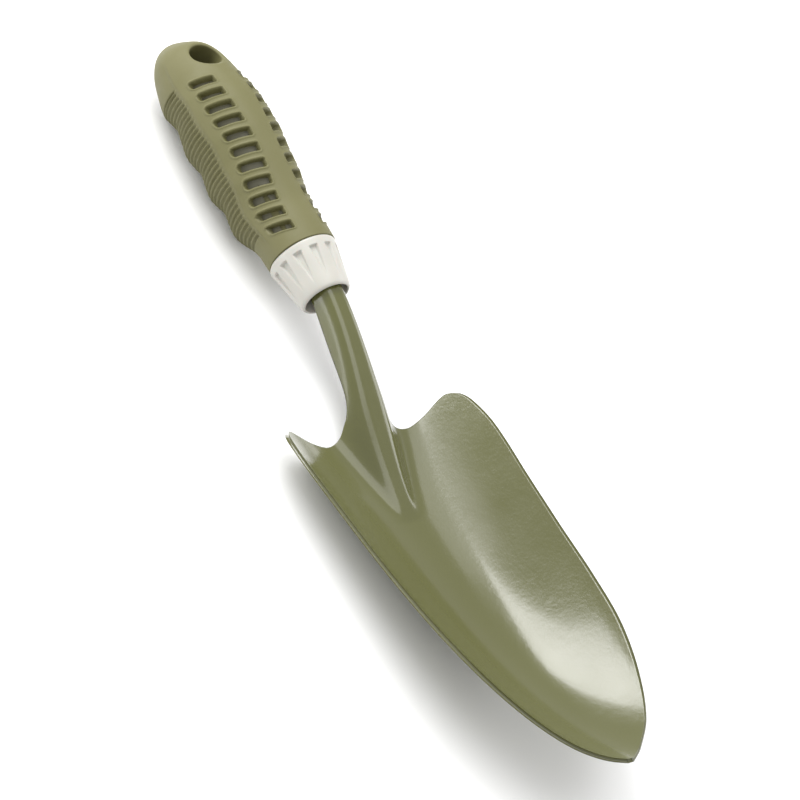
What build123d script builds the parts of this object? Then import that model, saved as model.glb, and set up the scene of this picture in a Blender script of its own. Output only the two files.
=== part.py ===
from build123d import *
import math
import os

os.makedirs("parts", exist_ok=True)

# Hand trowel.  Modelling frame, mm: X runs along the handle axis towards the tip of the
# blade with x = 0 at the seam between grip and collar, Y is the width of the blade,
# Z points out of the hollow side of the scoop.  At the end the trowel is laid down on
# its blade and its grip and centred over the origin.

# ---- driving dimensions -------------------------------------------------------------
sheet_thickness = 1.6
blade_length = 170.7
blade_pitch = math.radians(13.9)      # blade base line against the handle axis
blade_root = (63.1, -23.5)            # x, z where the blade base line starts
scoop_depth = 13.75                   # keel below the base line, half way along
scoop_skew = 52.2                     # moves the deepest place towards the tip
scoop_bend = 0.0134                   # height across = bend times the width squared
scoop_bend_gain = 0.0109              # how much the bend tightens from heel to tip
scoop_bend_middle = 0.4
ridge_length = 41.0                   # neck ridge running out into the blade
ridge_end_slope = -0.40
neck_bend_start = -42.0               # from here the neck curves down into the blade
neck_height = 7.6                     # crest of the channel above the handle axis
channel_depth = 16.0                  # of the tang channel, crest to fading skirts
channel_power = 4                     # how square the shoulders of the channel are
channel_half_width = [(-45, 7.4), (0, 9.2), (ridge_length, 3.0)]
tang_end = -58.0
tang_half_width = 7.4

grip_wall = 2.9
widest_line_lift = 0.9                # widest line of the grip above its middle height
core_lowest = -18.7                   # the core's belly does not follow the finger hollows
clearance = 0.03                      # between the moulded grip and its core
hang_hole_x = -86.0
hang_hole_radius = 6.0
hole_lining = 1.3
slot_count = 11
slot_first_x = -73.7
slot_pitch = 6.52
slot_width = 3.5
slot_length = 10.6
slot_corner = 1.55
slot_lean = 12                        # degrees the slots lean against the grip
slot_cut_height = 22                  # size and middle height of the block that cuts a slot
slot_cut_middle = 19
slot_off_spine = [(-74, 38), (-41, 34), (-8.5, 47)]

collar_length = 19.6
collar_big_radius = 13.3
collar_bore = 8.75
spigot_radius = 10.4
spigot_length = 11.0
flute_count = 12
flute_start = 3.8
flute_end = 16.5
flute_half_width = 1.4
flute_depth = 1.3
flute_top = 12.9                      # outside radius of the collar where the flutes start
flute_slope = 7.0                     # degrees that a flute's floor falls towards the neck

pin_x = -30.0
pin_z = 1.5
pin_radius = 2.0
pin_length = 23.0
pin_clearance = 0.05

pocket_width = 16.4                   # space in the core for the tang channel
pocket_top = 8.3
pocket_bottom = -5.2
tongue_width = 8.4                    # part of the core that fills the inside of the channel
tongue_top = 2.4
beyond = 60                           # longer than anything the cutting shapes go through


def ramp(stations, x):
    """Smooth value at x from a short list of (x, value) stations."""
    if x <= stations[0][0]:
        return stations[0][1]
    for (x0, v0), (x1, v1) in zip(stations, stations[1:]):
        if x <= x1:
            t = (x - x0) / (x1 - x0)
            t = t * t * (3 - 2 * t)
            return v0 + (v1 - v0) * t
    return stations[-1][1]


def to_handle(u, h):
    """Blade coordinates (along, up) to handle coordinates (x, z)."""
    x = blade_root[0] + u * math.cos(blade_pitch) - h * math.sin(blade_pitch)
    z = blade_root[1] + u * math.sin(blade_pitch) + h * math.cos(blade_pitch)
    return x, z


# ---- blade: one steel sheet with scoop, neck channel and tang --------------------------
def keel(u):
    """Height of the scoop's centre line above the blade base line."""
    t = max(u, 0.0) / blade_length
    return -t * (1 - t) * (4 * scoop_depth + scoop_skew * (t - 0.5))


def trough(u, v):
    """Height of the plain scoop: a parabola across, tightening towards the tip."""
    t = max(u, 0.0) / blade_length
    return keel(u) + (scoop_bend + scoop_bend_gain * (t - scoop_bend_middle)) * v * v


def crest(u):
    """Height of the crest of tang, neck and ridge above the blade base line."""
    rise = (neck_height - blade_root[1]) / math.cos(blade_pitch)
    if u <= neck_bend_start:
        return rise - u * math.tan(blade_pitch)
    span = ridge_length - neck_bend_start
    t = min((u - neck_bend_start) / span, 1.0)
    start = rise - neck_bend_start * math.tan(blade_pitch)
    slope = -math.tan(blade_pitch) * span
    end = keel(ridge_length)
    end_slope = ridge_end_slope * span
    a = 2 * t ** 3 - 3 * t ** 2 + 1
    b = t ** 3 - 2 * t ** 2 + t
    c = -2 * t ** 3 + 3 * t ** 2
    d = t ** 3 - t ** 2
    return a * start + b * slope + c * end + d * end_slope


def sheet_height(u, v):
    """Top face of the whole sheet: the scoop plus a bell-shaped channel over it."""
    if u >= ridge_length:
        return trough(u, v)
    half = ramp(channel_half_width, u)
    rise = crest(u) - keel(u)
    if u < 0:
        depth = ramp([(channel_half_width[0][0], channel_depth), (0, rise)], u)
    else:
        depth = rise
    floor = crest(u) - depth
    side = trough(u, v) - keel(u)
    return floor + side + depth / (1 + (abs(v) / half) ** channel_power)


def under_point(u, v):
    """Point of the under face: one sheet thickness below the top face, square to it."""
    step = 0.05                       # for the slopes of the surface
    along = (sheet_height(u + step, v) - sheet_height(u - step, v)) / (2 * step)
    sideways = (sheet_height(u, v + step) - sheet_height(u, v - step)) / (2 * step)
    size = math.sqrt(1 + along * along + sideways * sideways)
    drop = sheet_thickness / size
    return u + along * drop, v + sideways * drop, sheet_height(u, v) - drop


# the points of the sheet lie closer together over the neck channel
across = [0, 1.5, 3, 4.2, 5.2, 6, 6.8, 7.6, 8.4, 9.2, 10.2, 11.4, 13, 15, 18, 22, 27, 33, 39, 45]
columns = [-v for v in reversed(across[1:])] + across
lengthwise = [-128 + 8 * i for i in range(11)] + [-42 + 3 * i for i in range(30)]
lengthwise = lengthwise + [54 + 9 * i for i in range(14)]
top_rows = []
under_rows = []
for u in lengthwise:
    top_row = []
    under_row = []
    for v in columns:
        x, z = to_handle(u, sheet_height(u, v))
        top_row.append(Vector(x, v, z))
        u2, v2, h2 = under_point(u, v)
        x, z = to_handle(u2, h2)
        under_row.append(Vector(x, v2, z))
    top_rows.append(top_row)
    under_rows.append(under_row)
up = Vector(-math.sin(blade_pitch), 0, math.cos(blade_pitch)) * 2 * beyond
above_top = Solid.extrude(Face.make_surface_from_array_of_points(top_rows, tol=0.02), up)
above_under = Solid.extrude(Face.make_surface_from_array_of_points(under_rows, tol=0.02), up)

# plan outline of the sheet, symmetric about the keel, in blade coordinates
half_outline = [(-46, tang_half_width), (-20, 7.7), (-4, 8.8), (3.2, 10.8)]
ear = [(5.8, 18.0), (4.2, 26.9), (1.6, 34.4), (6.0, 40.7), (24, 43.3), (47.8, 41.8)]
nose = [(71.7, 40.2), (95.6, 38.2), (117.8, 34.7), (138.2, 28.1), (155.3, 19), (165.5, 8.6)]
tip = (blade_length, 0)
tang_start = (-108.5, tang_half_width)
right_edge = Spline(half_outline + ear + nose + [tip])
left_edge = mirror(right_edge, Plane.XZ)
tang_right = Line(tang_start, half_outline[0])
tang_left = mirror(tang_right, Plane.XZ)
tang_back = Line(tang_start, (tang_start[0], -tang_start[1]))
plan = make_face([right_edge, left_edge, tang_right, tang_left, tang_back])
cutter = extrude(plan, 1.5 * beyond, both=True)
blade_place = Location((blade_root[0], 0, blade_root[1]), (0, -math.degrees(blade_pitch), 0))
blade = ((blade_place * cutter) & above_under) - above_top
print("blade", blade.volume, blade.bounding_box(), len(blade.solids()), blade.is_valid)


# ---- grip: soft overmould with slots, finger hollows and a hang hole --------------------
# x, half width, spine height, belly depth
grip_stations = [
    (-101.5, 2.6, -3.0, -8.6), (-100.6, 5.0, -1.0, -10.8), (-98.5, 8.0, 2.3, -13.4),
    (-94.5, 11.1, 7.4, -16.0), (-89, 13.2, 10.9, -19.2), (-83, 14.6, 13.0, -21.2),
    (-78, 15.2, 14.2, -21.6), (-73.5, 15.6, 15.2, -20.0), (-69.5, 16.0, 16.2, -18.7),
    (-64, 16.5, 17.2, -20.4), (-59, 16.8, 17.5, -21.8), (-54, 16.7, 17.4, -20.7),
    (-49.5, 16.6, 17.2, -19.2), (-45.5, 16.5, 16.8, -20.6), (-40.5, 16.3, 16.2, -22.2),
    (-35.5, 16.1, 15.4, -20.6), (-31.3, 15.8, 14.7, -18.9), (-27, 15.4, 14.0, -20.4),
    (-22.5, 15.0, 13.4, -21.4), (-17.5, 14.5, 13.0, -19.2), (-12, 14.0, 13.1, -15.9),
    (-6, 13.6, 13.3, -14.0), (0, 13.4, 13.4, -13.3),
]


def oval(x, half_width, top, bottom):
    """Closed oval across the grip: half ellipses above and below its widest line."""
    middle = (top + bottom) / 2 + widest_line_lift
    place = Plane((x, 0, middle), x_dir=(0, 1, 0), z_dir=(1, 0, 0))
    upper = EllipticalCenterArc((0, 0), half_width, top - middle, start_angle=0, arc_size=180)
    lower = EllipticalCenterArc((0, 0), half_width, middle - bottom, start_angle=180, arc_size=180)
    return place * make_face([upper, lower])


def core_oval(station, wall):
    """Core section under a grip section: smaller by the wall, without the finger hollows."""
    x, half_width, top, bottom = station
    return oval(x, half_width - wall, top - wall, max(bottom, core_lowest) + wall)


outer_faces = [oval(*station) for station in grip_stations]
grip_body = loft(outer_faces)
core_stations = [(-96.5, 8.4, 3.6, -12.8)] + grip_stations[4:-1] + [(0.5, 13.4, 13.4, -13.3)]
cavity = loft([core_oval(station, grip_wall) for station in core_stations])
core_body = loft([core_oval(station, grip_wall + clearance) for station in core_stations])

hole_axis = Location((hang_hole_x, 0, 0))
core_hole = hole_axis * Cylinder(hang_hole_radius + hole_lining, beyond)
grip_hole = hole_axis * Cylinder(hang_hole_radius, beyond)
lining = hole_axis * Cylinder(hang_hole_radius + hole_lining - clearance, beyond)
grip = grip_body - cavity + (grip_body & lining) - grip_hole

windows = []
for i in range(slot_count):
    x = slot_first_x + i * slot_pitch
    off_spine = ramp(slot_off_spine, x)
    for side in (-1, 1):
        window = Box(slot_width, slot_length, slot_cut_height)
        window = fillet(window.edges().filter_by(Axis.Z), slot_corner)
        window = Location((0, 0, slot_cut_middle), (0, 0, side * slot_lean)) * window
        windows.append(Location((x, 0, 0), (-side * off_spine, 0, 0)) * window)
grip = grip - windows

mouth_trim = Location((beyond / 2, 0, 0)) * Box(beyond, beyond, beyond)
grip = grip - mouth_trim
print("grip", grip.volume, grip.bounding_box(), len(grip.solids()), grip.is_valid)

# ---- rigid core inside the grip ----------------------------------------------------------
spigot = Cylinder(spigot_radius, spigot_length)
spigot = Location((spigot_length / 2, 0, 0), (0, 90, 0)) * spigot
core = (core_body - mouth_trim) + spigot
pocket_back = tang_end - 1
pocket_length = spigot_length + 1 - pocket_back
pocket = Box(pocket_length, pocket_width, pocket_top - pocket_bottom)
pocket_middle = pocket_back + pocket_length / 2
pocket = Location((pocket_middle, 0, (pocket_top + pocket_bottom) / 2)) * pocket
tongue_length = spigot_length - pocket_back
tongue = Box(tongue_length, tongue_width, tongue_top - pocket_bottom)
tongue_middle = spigot_length - tongue_length / 2
tongue = Location((tongue_middle, 0, (tongue_top + pocket_bottom) / 2)) * tongue
core = core - (pocket - tongue) - core_hole

# ---- pin through core and tang --------------------------------------------------------------
pin_place = Location((pin_x, 0, pin_z), (90, 0, 0))
pin_hole = pin_place * Cylinder(pin_radius + pin_clearance, pin_length)
tang_pin = pin_place * Cylinder(pin_radius, pin_length)
core = core - pin_hole
blade = blade - pin_hole
print("core", core.volume, core.bounding_box(), len(core.solids()), core.is_valid)

# ---- collar: tapered ring with wedge flutes ----------------------------------------------
seat_radius = spigot_radius + 0.05
seat_length = spigot_length + 0.1
profile = Polyline(
    (0, collar_big_radius), (1, collar_big_radius + 0.1), (6, 12.5), (12, 11.3), (17, 10.4),
    (19.1, 9.7), (collar_length, 9.1), (collar_length, collar_bore),
    (seat_length, collar_bore), (seat_length, seat_radius),
    (0, seat_radius), (0, collar_big_radius),
)
collar = revolve(Plane.XY * make_face(profile), Axis.X, 360)
wedge = Polyline(
    (0, -flute_half_width), (0, flute_half_width), (flute_end - flute_start, 0),
    (0, -flute_half_width),
)
wedge = extrude(make_face(wedge), 3 * flute_depth)
wedge = Location((flute_start, 0, flute_top - flute_depth), (0, flute_slope, 0)) * wedge
flutes = []
for i in range(flute_count):
    turn = (i + 0.5) * 360 / flute_count
    flutes.append(Location((0, 0, 0), (turn, 0, 0)) * wedge)
collar = collar - flutes
print("collar", collar.volume, collar.bounding_box(), len(collar.solids()), collar.is_valid)

# ---- lay the trowel down and write the pieces ---------------------------------------------
pieces = {"blade": blade, "handle_core": core, "grip": grip, "collar": collar, "tang_pin": tang_pin}


def lowest(points, angle):
    """Lowest height of the points after turning them about Y."""
    return min(p.X * -math.sin(angle) + p.Z * math.cos(angle) for p in points)


blade_points = blade.tessellate(0.1)[0]
grip_points = grip.tessellate(0.1)[0]
low_angle = math.radians(-8)
high_angle = math.radians(8)
for i in range(40):
    lay_angle = (low_angle + high_angle) / 2
    if lowest(grip_points, lay_angle) > lowest(blade_points, lay_angle):
        high_angle = lay_angle
    else:
        low_angle = lay_angle
floor_height = lowest(blade_points, lay_angle)
turned = {}
for name, piece in pieces.items():
    turned[name] = Location((0, 0, 0), (0, math.degrees(lay_angle), 0)) * piece
box = Compound([piece.solid() for piece in turned.values()]).bounding_box()
shift = (-(box.min.X + box.max.X) / 2, 0, -floor_height)
print("lay angle", math.degrees(lay_angle), "shift", shift, "size", box.size)
for name, piece in turned.items():
    placed = Location(shift) * piece
    export_step(placed, "parts/" + name + ".step")
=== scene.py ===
import bmesh
import bpy
import math
from mathutils import Matrix, Vector


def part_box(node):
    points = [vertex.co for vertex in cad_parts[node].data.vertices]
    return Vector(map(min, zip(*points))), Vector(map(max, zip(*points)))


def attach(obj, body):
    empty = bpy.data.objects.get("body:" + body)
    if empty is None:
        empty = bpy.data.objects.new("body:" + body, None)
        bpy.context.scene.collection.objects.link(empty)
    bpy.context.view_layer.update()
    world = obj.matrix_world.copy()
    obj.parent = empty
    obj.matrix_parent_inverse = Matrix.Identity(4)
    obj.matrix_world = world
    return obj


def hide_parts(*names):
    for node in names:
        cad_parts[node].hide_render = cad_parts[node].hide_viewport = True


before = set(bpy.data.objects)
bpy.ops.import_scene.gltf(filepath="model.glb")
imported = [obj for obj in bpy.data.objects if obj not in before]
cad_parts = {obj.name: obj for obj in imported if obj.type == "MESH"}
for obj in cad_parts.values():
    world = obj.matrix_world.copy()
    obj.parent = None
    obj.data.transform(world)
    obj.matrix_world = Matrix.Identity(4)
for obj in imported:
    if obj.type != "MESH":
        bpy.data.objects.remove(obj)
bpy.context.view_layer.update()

# Hand trowel.  Shapes are worked out in millimetres in the handle frame: x = 0 at the seam
# between grip and collar, x towards the tip, y across the blade, z out of the hollow side.
MM = 0.001
collar_low, collar_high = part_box("collar")
LAY_ANGLE = math.radians(-0.13)
HANDLE_ORIGIN = Vector((collar_low.x, 0, (collar_low.z + collar_high.z) / 2))
HANDLE_TURN = Matrix.Rotation(LAY_ANGLE, 4, "Y")


def place(x, y, z):
    """Handle frame in millimetres to row frame in metres."""
    return HANDLE_ORIGIN + HANDLE_TURN @ (Vector((x, y, z)) * MM)


# ---- curves and meshes --------------------------------------------------------------------
def smooth(a, b, x):
    """Smooth step from 0 at a to 1 at b."""
    t = min(max((x - a) / (b - a), 0.0), 1.0)
    return t * t * (3 - 2 * t)


def hump(x, middle, width):
    """Bell curve, 1 at its middle."""
    return math.exp(-((x - middle) / width) ** 2)


def ramp(stations, x):
    """Smooth value at x from a short list of (x, value) stations, level beyond its ends."""
    for (x0, v0), (x1, v1) in zip(stations, stations[1:]):
        if x <= x1:
            return v0 + (v1 - v0) * smooth(x0, x1, x)
    return stations[-1][1]


def hermite(t, start, end, start_slope, end_slope):
    """Cubic from start to end with the given slopes, t from 0 to 1."""
    return ((2 * t ** 3 - 3 * t ** 2 + 1) * start + (t ** 3 - 2 * t ** 2 + t) * start_slope
            + (3 * t ** 2 - 2 * t ** 3) * end + (t ** 3 - t ** 2) * end_slope)


def curve(stations, x, k=1):
    """Catmull-Rom curve through stations (x, value, ...), reading column k."""
    last = len(stations) - 1
    i = 0
    while i < last - 1 and x > stations[i + 1][0]:
        i += 1
    x0, x1 = stations[i][0], stations[i + 1][0]
    t = min(max((x - x0) / (x1 - x0), 0.0), 1.0)
    before, after = stations[max(i - 1, 0)], stations[min(i + 2, last)]
    v0, v1 = stations[i][k], stations[i + 1][k]
    start_slope = (v1 - before[k]) / (x1 - before[0]) * (x1 - x0)
    end_slope = (after[k] - v0) / (after[0] - x0) * (x1 - x0)
    return hermite(t, v0, v1, start_slope, end_slope)


def join_rings(faces, a, b):
    """Quads between two closed rings of the same length."""
    for k in range(len(a)):
        j = (k + 1) % len(a)
        faces.append([a[k], a[j], b[j], b[k]])


def add_ring(points, faces, previous, ring_points):
    """Adds a ring of points and joins it to the ring before it."""
    ring = list(range(len(points), len(points) + len(ring_points)))
    points.extend(ring_points)
    join_rings(faces, previous, ring)
    return ring


def bridge_rings(faces, top, bottom):
    """Joins two rings of (bearings, points) that differ in count, by walking round them."""
    a, b = (sorted(zip(*ring)) for ring in (top, bottom))
    i = j = 0
    while i < len(a) or j < len(b):
        here_a, here_b = a[i % len(a)][1], b[j % len(b)][1]
        next_a = a[i + 1][0] if i + 1 < len(a) else a[0][0] + 2 * math.pi
        next_b = b[j + 1][0] if j + 1 < len(b) else b[0][0] + 2 * math.pi
        if j >= len(b) or (i < len(a) and next_a <= next_b):
            faces.append([here_a, here_b, a[(i + 1) % len(a)][1]])
            i += 1
        else:
            faces.append([here_a, here_b, b[(j + 1) % len(b)][1]])
            j += 1


def make_object(name, points, faces, material, node):
    """Smooth mesh in the row frame that stands for one CAD node."""
    mesh = bpy.data.meshes.new(name)
    mesh.from_pydata([tuple(p) for p in points], [], faces)
    mesh.validate()
    solid = bmesh.new()
    solid.from_mesh(mesh)
    bmesh.ops.recalc_face_normals(solid, faces=solid.faces)
    solid.to_mesh(mesh)
    solid.free()
    mesh.shade_smooth()
    piece = bpy.data.objects.new(name, mesh)
    bpy.context.scene.collection.objects.link(piece)
    piece.data.materials.append(material)
    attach(piece, "root")
    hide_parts(node)


# ---- materials ------------------------------------------------------------------------------
def new_material(name, colour, roughness, **inputs):
    """A principled material; returns it with its node tree and shader."""
    material = bpy.data.materials.new(name)
    material.use_nodes = True
    shader = material.node_tree.nodes["Principled BSDF"]
    shader.inputs["Base Color"].default_value = (*colour, 1)
    shader.inputs["Roughness"].default_value = roughness
    for key, value in inputs.items():
        shader.inputs[key.replace("_", " ")].default_value = value
    return material, material.node_tree, shader


def noise(tree, per_metre, detail=3.0):
    """Noise over the object's own coordinates."""
    coordinates = tree.nodes.new("ShaderNodeTexCoord")
    node = tree.nodes.new("ShaderNodeTexNoise")
    node.inputs["Scale"].default_value = per_metre
    node.inputs["Detail"].default_value = detail
    tree.links.new(coordinates.outputs["Object"], node.inputs["Vector"])
    return node.outputs["Fac"]


def spread(tree, source, low, high):
    """Maps the middle of a noise's range to low..high."""
    node = tree.nodes.new("ShaderNodeMapRange")
    node.inputs["From Min"].default_value = 0.3
    node.inputs["From Max"].default_value = 0.7
    node.inputs["To Min"].default_value = low
    node.inputs["To Max"].default_value = high
    tree.links.new(source, node.inputs["Value"])
    return node.outputs["Result"]


def two_tone(tree, shader, per_metre, dark, light):
    """Base colour that drifts between two close tones."""
    node = tree.nodes.new("ShaderNodeMix")
    node.data_type = "RGBA"
    node.inputs["A"].default_value = (*dark, 1)
    node.inputs["B"].default_value = (*light, 1)
    tree.links.new(spread(tree, noise(tree, per_metre), 0, 1), node.inputs["Factor"])
    tree.links.new(node.outputs["Result"], shader.inputs["Base Color"])


def vary_roughness(tree, shader, per_metre, low, high):
    tree.links.new(spread(tree, noise(tree, per_metre), low, high), shader.inputs["Roughness"])


def add_bump(tree, shader, per_metre, strength, distance, under=None):
    """Fine relief of a given depth in metres, laid over another bump if one is given."""
    node = tree.nodes.new("ShaderNodeBump")
    node.inputs["Strength"].default_value = strength
    node.inputs["Distance"].default_value = distance
    tree.links.new(noise(tree, per_metre, detail=2), node.inputs["Height"])
    if under is not None:
        tree.links.new(under, node.inputs["Normal"])
    tree.links.new(node.outputs["Normal"], shader.inputs["Normal"])
    return node.outputs["Normal"]


def painted_steel():
    """Glossy olive enamel with the fine orange peel of sprayed paint."""
    material, tree, shader = new_material(
        "painted_steel", (0.098, 0.1, 0.029), 0.24, Coat_Weight=0.65, Coat_Roughness=0.12)
    two_tone(tree, shader, 14, dark=(0.089, 0.091, 0.024), light=(0.097, 0.099, 0.029))
    vary_roughness(tree, shader, 60, low=0.2, high=0.27)
    peel = add_bump(tree, shader, 900, strength=0.10, distance=0.0004)
    add_bump(tree, shader, 260, strength=0.08, distance=0.0008, under=peel)
    return material


def grip_rubber():
    """Soft olive thermoplastic rubber: satin, with a very fine moulded grain."""
    material, tree, shader = new_material("grip_rubber", (0.128, 0.122, 0.046), 0.6)
    two_tone(tree, shader, 35, dark=(0.122, 0.116, 0.042), light=(0.133, 0.126, 0.049))
    vary_roughness(tree, shader, 150, low=0.56, high=0.66)
    grain = add_bump(tree, shader, 5200, strength=0.16, distance=0.00015)
    add_bump(tree, shader, 500, strength=0.05, distance=0.0005, under=grain)
    return material


def collar_plastic():
    """Ivory moulded plastic, semi-gloss, a little light passing into it."""
    material, tree, shader = new_material(
        "collar_plastic", (0.46, 0.45, 0.41), 0.34, Subsurface_Weight=0.08, Subsurface_Scale=0.003)
    two_tone(tree, shader, 40, dark=(0.45, 0.44, 0.40), light=(0.48, 0.47, 0.425))
    vary_roughness(tree, shader, 200, low=0.30, high=0.40)
    add_bump(tree, shader, 1800, strength=0.06, distance=0.0002)
    return material


def core_plastic():
    """Grey-olive moulded core seen at the bottom of the slots."""
    material, tree, shader = new_material("core_plastic", (0.115, 0.11, 0.07), 0.5)
    two_tone(tree, shader, 60, dark=(0.10, 0.097, 0.062), light=(0.13, 0.125, 0.082))
    vary_roughness(tree, shader, 180, low=0.42, high=0.58)
    add_bump(tree, shader, 2400, strength=0.1, distance=0.0002)
    return material


def pin_steel():
    """Plain drawn steel of the hidden cross pin."""
    material, tree, shader = new_material("pin_steel", (0.6, 0.6, 0.6), 0.3, Metallic=1.0)
    vary_roughness(tree, shader, 900, low=0.22, high=0.4)
    add_bump(tree, shader, 3000, strength=0.08, distance=0.0001)
    return material


# ---- blade: one pressed sheet with scoop, ridge and neck channel ----------------------------
# Its own coordinates: u along the base line towards the tip, v across, height above it.
SHEET = 1.6
RIM_RADIUS = SHEET / 2
RIM_STEPS = 6
BLADE_LENGTH = 170.7
BLADE_PITCH = math.radians(13.9)
BLADE_ROOT = (63.1, -23.5)            # x, z where the base line starts
SCOOP_DEPTH = 13.75                   # keel below the base line, half way along
SCOOP_SKEW = 52.2                     # moves the deepest place towards the tip
SCOOP_BEND = 0.0134                   # height across = bend times the width squared
SCOOP_BEND_GAIN = 0.0109              # how much the bend tightens from heel to tip
SCOOP_BEND_MIDDLE = 0.4
RIDGE_LENGTH = 41.0
RIDGE_END_SLOPE = -0.40
NECK_HEIGHT = 7.6                     # crest of the channel above the handle axis
NECK_START = -62.0                    # hidden inside the collar
NECK_BEND_START = -42.0
NECK_HALF_WIDTH = 7.0
NECK_WIDENING = 0.5
CHANNEL_START = -45
CHANNEL_DEPTH = 16.0
CHANNEL_POWER = 4                     # how square the shoulders of the channel are
CHANNEL_HALF_WIDTH = [(CHANNEL_START, 7.4), (0, 9.5), (RIDGE_LENGTH, 4.4)]
FILLET_WIDTH, FILLET_LENGTH = 1.9, 3.2    # where the neck's edge turns out into the ears

# half width of the scoop from the rounded rear corner to the tip, along the base line
CORNER_WIDTH = 38.0
SIDES = [(3.6, CORNER_WIDTH), (6, 40.0), (11, 41.5), (24, 42.4), (47.8, 41.0), (71.7, 39.4),
         (95.6, 37.4), (117.8, 33.9), (138.2, 27.3), (155.3, 18.2), (165.5, 8.2), (170.2, 1.2)]
# rear edge of the ears: distance out from the middle, position along the base line
REAR = [(9.4, 1.6), (12.5, 4.9), (18, 6.6), (22, 6.2), (27, 4.9), (31, 3.4), (34, 2.5),
        (36.3, 2.5), (CORNER_WIDTH, 3.6)]

NECK_COLUMN = 0.247                   # share of the half width that the neck takes
NECK_COLUMNS, WING_COLUMNS = 20, 40
NECK_ROWS, SCOOP_ROWS, NOSE_ROWS = 60, 150, 70
SCOOP_STEPS = 190                     # rows the scoop would have at its own spacing
CLOSER_AT_START, CLOSER_AT_TIP = 1.15, 1.5


def keel(u):
    """Centre line of the scoop."""
    t = max(u, 0.0) / BLADE_LENGTH
    return -t * (1 - t) * (4 * SCOOP_DEPTH + SCOOP_SKEW * (t - 0.5))


def trough(u, v):
    """Plain scoop: a parabola across, tightening towards the tip."""
    t = max(u, 0.0) / BLADE_LENGTH
    return keel(u) + (SCOOP_BEND + SCOOP_BEND_GAIN * (t - SCOOP_BEND_MIDDLE)) * v * v


def crest(u):
    """Crest line of neck and ridge."""
    rise = (NECK_HEIGHT - BLADE_ROOT[1]) / math.cos(BLADE_PITCH)
    if u <= NECK_BEND_START:
        return rise - u * math.tan(BLADE_PITCH)
    span = RIDGE_LENGTH - NECK_BEND_START
    start = rise - NECK_BEND_START * math.tan(BLADE_PITCH)
    start_slope = -math.tan(BLADE_PITCH) * span
    t = min((u - NECK_BEND_START) / span, 1.0)
    return hermite(t, start, keel(RIDGE_LENGTH), start_slope, RIDGE_END_SLOPE * span)


def sheet_height(u, v):
    """Top face of the sheet: the scoop with the bell-shaped channel standing on it."""
    if u >= RIDGE_LENGTH:
        return trough(u, v)
    rise = crest(u) - keel(u)
    depth = ramp([(CHANNEL_START, CHANNEL_DEPTH), (0, rise)], u) if u < 0 else rise
    skirt = crest(u) - depth + trough(u, v) - keel(u)
    half = ramp(CHANNEL_HALF_WIDTH, u)
    return skirt + depth / (1 + (abs(v) / half) ** CHANNEL_POWER)


def sheet_point(u, v):
    """Top point of the sheet and the normal there."""
    step = 0.05
    along = (sheet_height(u + step, v) - sheet_height(u - step, v)) / (2 * step)
    sideways = (sheet_height(u, v + step) - sheet_height(u, v - step)) / (2 * step)
    return Vector((u, v, sheet_height(u, v))), Vector((-along, -sideways, 1)).normalized()


def blade_to_row(p):
    x = BLADE_ROOT[0] + p.x * math.cos(BLADE_PITCH) - p.z * math.sin(BLADE_PITCH)
    z = BLADE_ROOT[1] + p.x * math.sin(BLADE_PITCH) + p.z * math.cos(BLADE_PITCH)
    return place(x, p.y, z)


def neck_half_width(u):
    widening = NECK_WIDENING * smooth(CHANNEL_START, -5, u)
    return NECK_HALF_WIDTH + widening + FILLET_WIDTH * math.exp((u - REAR[0][1]) / FILLET_LENGTH)


def blade_plan(column, row):
    """Plan position of a grid point: rows below 0 are neck, 0 to 1 run to the tip."""
    side = 1 if column >= 0 else -1
    out = abs(column)
    rear = REAR[0][1] if out <= NECK_COLUMN else curve(REAR, out * CORNER_WIDTH)
    if row < 0:
        u = NECK_START + (rear - NECK_START) * (1 + row)
        return u, side * out / NECK_COLUMN * neck_half_width(u)
    start, last = SIDES[0][0], SIDES[-1][0]
    return rear + (last - rear) * row, side * out * curve(SIDES, start + (last - start) * row)


def blade_columns():
    """Across the blade from -1 to 1, with the neck's columns closer together."""
    half = [NECK_COLUMN * i / NECK_COLUMNS for i in range(NECK_COLUMNS + 1)]
    for i in range(1, WING_COLUMNS + 1):
        half.append(NECK_COLUMN + (1 - NECK_COLUMN) * (i / WING_COLUMNS) ** CLOSER_AT_START)
    return [-c for c in reversed(half[1:])] + half


def blade_rows():
    """Neck from -1 to 0, then scoop and nose to 1 at the tip, closer together at the ends."""
    neck = [-1 + i / NECK_ROWS for i in range(NECK_ROWS)]
    scoop = [(i / SCOOP_STEPS) ** CLOSER_AT_START for i in range(SCOOP_ROWS)]
    left = 1 - scoop[-1]
    nose = [1 - left * (1 - i / NOSE_ROWS) ** CLOSER_AT_TIP for i in range(1, NOSE_ROWS + 1)]
    return neck + scoop + nose


def blade_outline(first, last, wide, end):
    """Grid keys (row, column) once round the sheet's edge, starting on the neck."""
    heel = NECK_ROWS
    loop = [(r, last) for r in range(heel)] + [(heel, c) for c in range(last, wide + 1)]
    loop += [(r, wide) for r in range(heel + 1, end + 1)]
    loop += [(end, c) for c in range(wide - 1, -1, -1)]
    loop += [(r, 0) for r in range(end - 1, heel - 1, -1)]
    loop += [(heel, c) for c in range(1, first + 1)]
    loop += [(r, first) for r in range(heel - 1, -1, -1)]
    return loop + [(0, c) for c in range(first + 1, last)]


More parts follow.
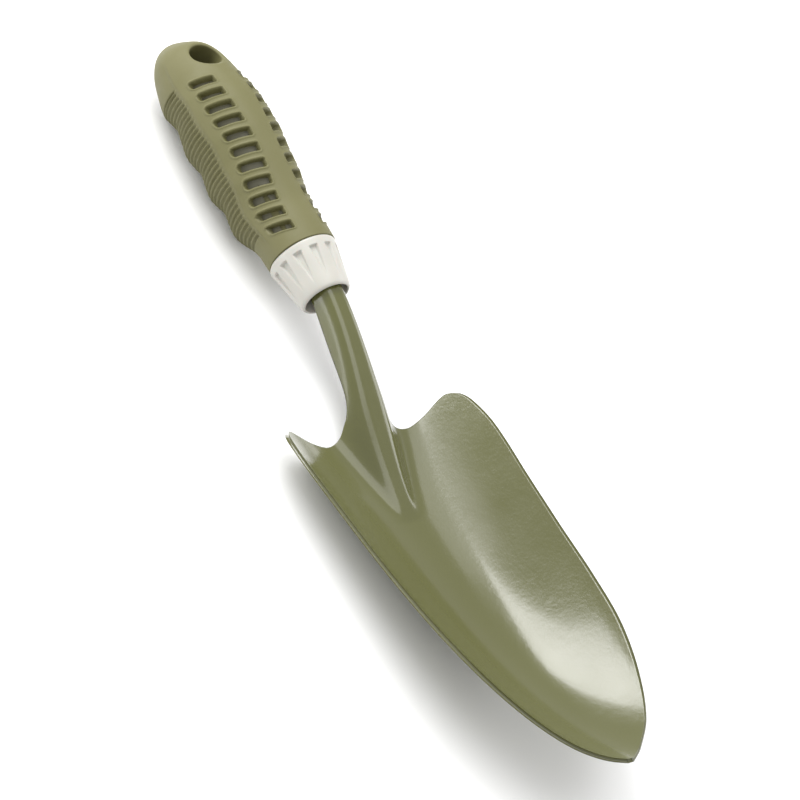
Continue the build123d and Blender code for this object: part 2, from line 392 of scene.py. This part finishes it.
def build_blade():
    columns, rows = blade_columns(), blade_rows()
    first, last = WING_COLUMNS, len(columns) - 1 - WING_COLUMNS
    index, tops, normals = {}, [], []
    for r, row in enumerate(rows):
        for c, column in enumerate(columns):
            if row < 0 and not first <= c <= last:
                continue
            index[r, c] = len(tops)
            top, normal = sheet_point(*blade_plan(column, row))
            tops.append(top)
            normals.append(normal)
    points = tops + [top - normal * SHEET for top, normal in zip(tops, normals)]
    under = len(tops)
    faces = []
    for r in range(len(rows) - 1):
        for c in range(len(columns) - 1):
            corners = [(r, c), (r + 1, c), (r + 1, c + 1), (r, c + 1)]
            if all(key in index for key in corners):
                quad = [index[key] for key in corners]
                faces.append(quad)
                faces.append([i + under for i in reversed(quad)])
    # rounded edge between the two faces
    outline = blade_outline(first, last, len(columns) - 1, len(rows) - 1)
    border = [index[key] for key in outline]
    ring = border
    for step in range(1, RIM_STEPS):
        turn = math.pi * step / RIM_STEPS
        ring_points = []
        for k, i in enumerate(border):
            tangent = tops[border[(k + 1) % len(border)]] - tops[border[k - 1]]
            out = tangent.cross(normals[i]).normalized()
            reach = normals[i] * math.cos(turn) + out * math.sin(turn)
            ring_points.append(tops[i] - normals[i] * RIM_RADIUS + reach * RIM_RADIUS)
        ring = add_ring(points, faces, ring, ring_points)
    join_rings(faces, ring, [i + under for i in border])
    make_object("pressed_blade", [blade_to_row(p) for p in points], faces, painted_steel(),
                "blade")


# ---- grip: soft overmould ---------------------------------------------------------------------
# x, half width, spine height, belly depth
GRIP = [
    (-101.5, 2.6, -3.0, -8.6), (-100.6, 5.0, -1.0, -10.8), (-98.5, 8.0, 2.3, -13.4),
    (-94.5, 11.1, 7.4, -16.0), (-89, 13.2, 10.9, -19.2), (-83, 14.6, 13.0, -21.2),
    (-78, 15.2, 14.2, -21.6), (-73.5, 15.6, 15.2, -20.0), (-69.5, 16.0, 16.2, -18.7),
    (-64, 16.5, 17.2, -20.4), (-59, 16.8, 17.5, -21.8), (-54, 16.7, 17.4, -20.7),
    (-49.5, 16.6, 17.2, -19.2), (-45.5, 16.5, 16.8, -20.6), (-40.5, 16.3, 16.2, -22.2),
    (-35.5, 16.1, 15.4, -20.6), (-31.3, 15.8, 14.7, -18.9), (-27, 15.4, 14.0, -20.4),
    (-22.5, 15.0, 13.4, -21.4), (-17.5, 14.5, 13.0, -19.2), (-12, 14.0, 13.1, -15.9),
    (-6, 13.6, 13.3, -14.0), (0, 13.4, 13.4, -13.3),
]
END_X = GRIP[0][0]
WIDEST_LINE_LIFT = 0.9
GIRTH_RADIUS = 17.0                   # turns an angle round the grip into a distance
SPINE, BELLY = 0.0, math.pi

SLOTS = 11
SLOT_FIRST, SLOT_PITCH, SLOT_WIDTH = -73.7, 6.52, 3.5
SLOT_DEPTH = 3.2                      # just under the core, which shows as the slots' floor
SLOT_CORNER_BELLY, SLOT_CORNER_SPINE = 1.6, 0.6
SLOT_OFF_SPINE = [(-74, 38), (-41, 34), (-8.5, 47)]
SLOT_LENGTH = [(-74, 10.2), (-45, 10.8), (-8.5, 12.0)]
SLOT_LEAN = math.tan(math.radians(12))
LEAN_REACH = 6.0                      # beyond this distance from the slots lines run straight
LIP_HEIGHT, LIP_OFFSET, LIP_WIDTH = 0.28, 0.45, 0.4

PANEL_EDGE, PANEL_DEPTH = 9.8, 0.45   # ribbed belly panel, measured from the slots' middle
SEAM_HEIGHT, SEAM_WIDTH = 0.18, 0.5   # raised line between slots and panel
RIB_START, RIB_END, RIBS = -79.0, -9.5, 34
RIB_DEPTH = 1.0

HOLE_X, HOLE_RADIUS, HOLE_ROUND = -86.0, 6.0, 1.5
HOLE_ROWS = (-94.6, -77.4)
HOLE_REACH = {SPINE: 33, BELLY: 13}   # grid columns each side that the hole's patch takes
PATCH_RINGS, ROUND_RINGS = 6, 6


def grip_section(x):
    """Half width, middle height, and the distances up to the spine and down to the belly."""
    half_width, top, bottom = (curve(GRIP, x, k) for k in (1, 2, 3))
    middle = (top + bottom) / 2 + WIDEST_LINE_LIFT
    return half_width, middle, top - middle, middle - bottom


def grip_surface(x, angle):
    """Point of the plain grip: angle 0 is the spine, pi the belly."""
    half_width, middle, up, down = grip_section(x)
    z = middle + (up if math.cos(angle) > 0 else down) * math.cos(angle)
    return Vector((x, half_width * math.sin(angle), z))


def from_slots(x, angle):
    """Distance round the grip from the middle of the slot row, positive towards the belly."""
    return GIRTH_RADIUS * (abs(angle) - math.radians(ramp(SLOT_OFF_SPINE, x)))


def rounded_box(x, y, half_x, half_y, radius):
    """Signed distance to a rounded rectangle, negative inside."""
    qx, qy = abs(x) - half_x + radius, abs(y) - half_y + radius
    return math.hypot(max(qx, 0), max(qy, 0)) + min(max(qx, qy), 0) - radius


def slot_relief(x, across):
    """One slot with steep walls and a low rounded lip."""
    number = min(max(round((x - SLOT_FIRST) / SLOT_PITCH), 0), SLOTS - 1)
    along = x - (SLOT_FIRST + number * SLOT_PITCH)
    corner = SLOT_CORNER_BELLY if across > 0 else SLOT_CORNER_SPINE
    edge = rounded_box(along, across, SLOT_WIDTH / 2, ramp(SLOT_LENGTH, x) / 2, corner)
    wall = 1 - smooth(-0.32, 0.02, edge)
    lip = hump(max(edge, 0), LIP_OFFSET, LIP_WIDTH) * smooth(-0.1, 0.3, edge)
    return LIP_HEIGHT * lip - SLOT_DEPTH * wall


def panel_relief(x, across):
    """The belly panel lies a little low, inside a raised line, and carries the ribs."""
    fade_in = smooth(-93, -86, x)
    panel = smooth(PANEL_EDGE, PANEL_EDGE + 1.0, across) * fade_in * (1 - smooth(-7.5, -3.5, x))
    seam = hump(across, PANEL_EDGE - 0.3, SEAM_WIDTH) * fade_in * (1 - smooth(-7.5, -4.5, x))
    relief = SEAM_HEIGHT * seam - PANEL_DEPTH * panel
    if RIB_START < x < RIB_END:
        ribbed = smooth(PANEL_EDGE + 1.6, PANEL_EDGE + 2.6, across)
        phase = (x - RIB_START) / (RIB_END - RIB_START) * RIBS
        relief -= RIB_DEPTH * ribbed * (0.5 - 0.5 * math.cos(2 * math.pi * phase))
    return relief


def grip_point(line, angle):
    """Grip surface with its detail; the lines across it lean as the slots do."""
    across = from_slots(line, angle)
    lean = min(max(across, -LEAN_REACH), LEAN_REACH)
    x = line - SLOT_LEAN * lean * smooth(-80, -76, line) * (1 - smooth(-6.5, -3.0, line))
    step = 0.02
    along = grip_surface(min(x + step, 0), angle) - grip_surface(min(x, -step) - step, angle)
    around = grip_surface(x, angle + step) - grip_surface(x, angle - step)
    normal = along.cross(around).normalized()
    relief = slot_relief(line, across) + panel_relief(line, across)
    return grip_surface(x, angle) + normal * relief


def grip_lines():
    """Lengthwise positions: even steps, with extra ones at the slot edges."""
    dome = [END_X + 0.9 * i / 8 for i in range(8)]
    end = [-100.6 + 0.6 * i for i in range(37)]
    body = [-78.8 + 0.26 * i for i in range(304)]
    edges = []
    for i in range(SLOTS):
        for inset in (-0.9, -0.6, -0.35, -0.15, 0.0, 0.12, 0.24, 0.36):
            for side in (-1, 1):
                edges.append(SLOT_FIRST + i * SLOT_PITCH + side * (SLOT_WIDTH / 2 - inset))
    lines = sorted(x for x in dome + end + body + edges if x < -0.05)
    kept = [lines[0]]
    for x in lines[1:]:
        if x - kept[-1] > 0.05:
            kept.append(x)
    return kept + [0.0]


def grip_angles():
    """Angles round the grip: fine over the slots, coarser on spine and belly."""
    spine = [3.0 * i for i in range(4)]
    slots = [12 + 0.9 * i for i in range(58)]
    side = [64.2 + 3.05 * i for i in range(38)]
    half = [math.radians(a) for a in spine + slots + side]
    return [-a for a in reversed(half[1:])] + half + [BELLY]


def hole_surface(x, y, side):
    """Height of the plain grip over a plan point, on the spine side or the belly side."""
    half_width, middle, up, down = grip_section(x)
    fall = math.sqrt(max(1 - (y / half_width) ** 2, 0.0))
    return middle + up * fall if side == SPINE else middle - down * fall


def close_end(points, faces, rim):
    """Flat end of the dome: three shrinking rings and a pole."""
    start = [points[i] for i in rim]
    middle = sum(start, Vector()) / len(rim)
    ring = rim
    for scale in (0.75, 0.5, 0.25):
        shrunk = [middle + (p - middle) * scale for p in start]
        ring = add_ring(points, faces, ring, [Vector((END_X, p.y, p.z)) for p in shrunk])
    pole = len(points)
    points.append(Vector((END_X, middle.y, middle.z)))
    for k in range(len(ring)):
        faces.append([ring[k], pole, ring[(k + 1) % len(ring)]])


def hole_patch(points, faces, border, side):
    """Rings from a square border of the grid to the hole, ending in a rounded edge."""
    start = [points[i].copy() for i in border]
    bearings = [math.atan2(p.y, p.x - HOLE_X) for p in start]
    outer = HOLE_RADIUS + HOLE_ROUND
    ring = border
    for layer in range(1, PATCH_RINGS + 1):
        share = layer / PATCH_RINGS
        ring_points = []
        for p, bearing in zip(start, bearings):
            x = p.x * (1 - share) + (HOLE_X + outer * math.cos(bearing)) * share
            y = p.y * (1 - share) + outer * math.sin(bearing) * share
            ring_points.append(Vector((x, y, hole_surface(x, y, side))))
        ring = add_ring(points, faces, ring, ring_points)
    inward = -1 if side == SPINE else 1
    for step in range(1, ROUND_RINGS + 1):
        turn = math.pi / 2 * step / ROUND_RINGS
        radius = HOLE_RADIUS + HOLE_ROUND * (1 - math.sin(turn))
        drop = inward * HOLE_ROUND * (1 - math.cos(turn))
        ring_points = []
        for bearing in bearings:
            x, y = HOLE_X + radius * math.cos(bearing), radius * math.sin(bearing)
            ring_points.append(Vector((x, y, hole_surface(x, y, side) + drop)))
        ring = add_ring(points, faces, ring, ring_points)
    return bearings, ring


def build_grip():
    lines, angles = grip_lines(), grip_angles()
    around = len(angles)
    centre = {SPINE: angles.index(0.0), BELLY: around - 1}
    r0, r1 = (min(range(len(lines)), key=lambda i: abs(lines[i] - x)) for x in HOLE_ROWS)

    def offset(c, side):
        """Columns from c to the middle of a side, the short way round."""
        d = (c - centre[side]) % around
        return d - around if d > around / 2 else d

    def in_hole(r, c, margin):
        return any(r0 + margin <= r <= r1 - margin
                   and abs(offset(c, side)) <= HOLE_REACH[side] - margin for side in centre)

    points, index, faces = [], {}, []
    for r, line in enumerate(lines):
        for c, angle in enumerate(angles):
            if not in_hole(r, c, 1):
                index[r, c] = len(points)
                points.append(grip_point(line, angle))
    for r in range(len(lines) - 1):
        for c in range(around):
            d = (c + 1) % around
            quad = [(r, c), (r, d), (r + 1, d), (r + 1, c)]
            if all(key in index for key in quad) and not all(in_hole(*key, 0) for key in quad):
                faces.append([index[key] for key in quad])
    close_end(points, faces, [index[0, c] for c in range(around)])
    # lip at the mouth, turned in towards the axis; inside it the hidden end stays open
    mouth = [index[len(lines) - 1, c] for c in range(around)]
    lip = [Vector((0, points[i].y * 0.8, points[i].z * 0.8)) for i in mouth]
    add_ring(points, faces, mouth, lip)
    # hang hole: a patch on each side, and the wall between them
    edges = []
    for side in (SPINE, BELLY):
        reach = HOLE_REACH[side]
        columns = [(centre[side] + k) % around for k in range(-reach, reach + 1)]
        loop = [(r0, c) for c in columns] + [(r, columns[-1]) for r in range(r0 + 1, r1 + 1)]
        loop += [(r1, c) for c in reversed(columns[:-1])]
        loop += [(r, columns[0]) for r in range(r1 - 1, r0, -1)]
        edges.append(hole_patch(points, faces, [index[key] for key in loop], side))
    bridge_rings(faces, *edges)
    make_object("moulded_grip", [place(*p) for p in points], faces, grip_rubber(),
                "grip")


# ---- collar: ivory ring with wedge flutes -------------------------------------------------------
COLLAR = [(0.25, 13.05), (0.6, 13.3), (1.5, 13.3), (6, 12.5), (12, 11.3), (16.5, 10.5),
          (18.6, 9.95), (19.3, 9.55)]
COLLAR_MOUTH = [(19.55, 9.25), (19.6, 8.95), (19.5, 8.7), (19.2, 8.6), (15, 8.6), (11.1, 8.6)]
COLLAR_SEAT = [(11.1, 10.45), (6, 10.45), (0, 10.45), (0, 12.0), (0.05, 12.7)]
COLLAR_STEP, COLLAR_STEPS = 0.2, 93
COLLAR_COLUMNS = 360
FLUTES = 12
FLUTE_START, FLUTE_END = 3.6, 16.6
FLUTE_DEPTH, FLUTE_HALF_WIDTH = 1.25, 1.45
FLUTE_RADIUS = 12.0                   # turns an angle round the collar into a distance


def collar_relief(x, angle):
    """Depth of the flutes: deep and wide near the grip, fading out towards the neck."""
    if not FLUTE_START - 0.5 < x < FLUTE_END:
        return 0.0
    pitch = 2 * math.pi / FLUTES
    off = ((angle / pitch) % 1 - 0.5) * pitch * FLUTE_RADIUS
    left = 1 - min(max((x - FLUTE_START) / (FLUTE_END - FLUTE_START), 0), 1)
    half = FLUTE_HALF_WIDTH * left + 0.12
    wall = 1 - smooth(half - 0.45 * left - 0.1, half + 0.25, abs(off))
    return FLUTE_DEPTH * left ** 1.1 * wall * smooth(FLUTE_START - 0.35, FLUTE_START + 0.1, x)


def collar_ring(x, radius, fluted):
    ring = []
    for c in range(COLLAR_COLUMNS):
        angle = 2 * math.pi * c / COLLAR_COLUMNS
        r = radius - (collar_relief(x, angle) if fluted else 0.0)
        ring.append(place(x, r * math.sin(angle), r * math.cos(angle)))
    return ring


def build_collar():
    """The hidden seat inside follows the flutes; only the mouth is plain."""
    start = COLLAR[1][0]
    outside = [start + COLLAR_STEP * i for i in range(1, COLLAR_STEPS + 1)]
    outside = COLLAR[:2] + [(x, curve(COLLAR, x)) for x in outside]
    points = collar_ring(*outside[0], fluted=True)
    faces = []
    first = ring = list(range(COLLAR_COLUMNS))
    for x, radius in outside[1:]:
        ring = add_ring(points, faces, ring, collar_ring(x, radius, fluted=True))
    for x, radius in COLLAR_MOUTH:
        ring = add_ring(points, faces, ring, collar_ring(x, radius, fluted=False))
    for x, radius in COLLAR_SEAT:
        ring = add_ring(points, faces, ring, collar_ring(x, radius, fluted=True))
    join_rings(faces, ring, first)
    make_object("fluted_collar", points, faces, collar_plastic(), "collar")


# ---- studio: floor, light and camera ------------------------------------------------------------
AIM = Vector((0.02, 0, 0.02))
FLOOR_SIZE = 6.0
CAMERA_PLACE = (576.65, -867.0, 1023.6)    # millimetres in the handle frame
CAMERA_RIGHT = Vector((0.47070, 0.77331, 0.42477))
CAMERA_DOWN = Vector((0.80789, -0.18428, -0.55978))
CAMERA_AWAY = Vector((-0.35461, 0.60666, -0.71149))


def build_floor():
    mesh = bpy.data.meshes.new("floor")
    corners = [(-1, -1), (1, -1), (1, 1), (-1, 1)]
    mesh.from_pydata([(x * FLOOR_SIZE, y * FLOOR_SIZE, 0) for x, y in corners], [], [(0, 1, 2, 3)])
    floor = bpy.data.objects.new("floor", mesh)
    bpy.context.scene.collection.objects.link(floor)
    floor.data.materials.append(new_material("floor_paper", (0.9, 0.9, 0.9), 0.9)[0])


def room_light(strength):
    world = bpy.data.worlds.new("studio")
    world.use_nodes = True
    background = world.node_tree.nodes["Background"]
    background.inputs["Color"].default_value = (1, 1, 1, 1)
    background.inputs["Strength"].default_value = strength
    bpy.context.scene.world = world


def soft_light(name, position, long_axis, size, power):
    """Softbox aimed at the trowel, with its long side turned along the given direction."""
    light = bpy.data.lights.new(name, "AREA")
    light.shape = "RECTANGLE"
    light.size, light.size_y = size
    light.energy = power
    back = (Vector(position) - AIM).normalized()
    side = Vector(long_axis)
    side = (side - back * side.dot(back)).normalized()
    lamp = bpy.data.objects.new(name, light)
    turn = Matrix((side, back.cross(side), back)).transposed().to_4x4()
    lamp.matrix_world = Matrix.Translation(position) @ turn
    bpy.context.scene.collection.objects.link(lamp)


def build_camera():
    """Camera a long way off, seeing the trowel from its tip end, left side and above."""
    camera = bpy.data.cameras.new("camera")
    camera.sensor_width = 36
    camera.lens = 180
    camera.clip_end = 50
    turn = Matrix((CAMERA_RIGHT, -CAMERA_DOWN, -CAMERA_AWAY)).transposed().to_4x4()
    eye = bpy.data.objects.new("camera", camera)
    eye.matrix_world = Matrix.Translation(place(*CAMERA_PLACE)) @ HANDLE_TURN @ turn
    bpy.context.scene.collection.objects.link(eye)
    bpy.context.scene.camera = eye


# ---- the scene ------------------------------------------------------------------------------------
build_blade()
build_grip()
build_collar()
# the hidden core and pin stay as made in CAD
for node, material in (("handle_core", core_plastic()), ("tang_pin", pin_steel())):
    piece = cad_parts[node]
    piece.data.materials.clear()
    piece.data.materials.append(material)

build_floor()
room_light(0.72)
soft_light("back_softbox", (-0.82, -0.21, 0.7), (0.266, 0.785, 0.56), (0.95, 0.48), 12)
soft_light("top_softbox", (-0.1, -0.05, 1.3), (1, 0, 0), (1.2, 1.2), 8)
soft_light("side_softbox", (0.35, 1.25, 0.55), (1, 0, 0), (1.2, 0.7), 7)
soft_light("low_strip", (-0.3, -1.15, 0.08), (1, 0, 0), (0.8, 0.14), 1.2)
build_camera()
bpy.context.scene.view_settings.view_transform = "Standard"
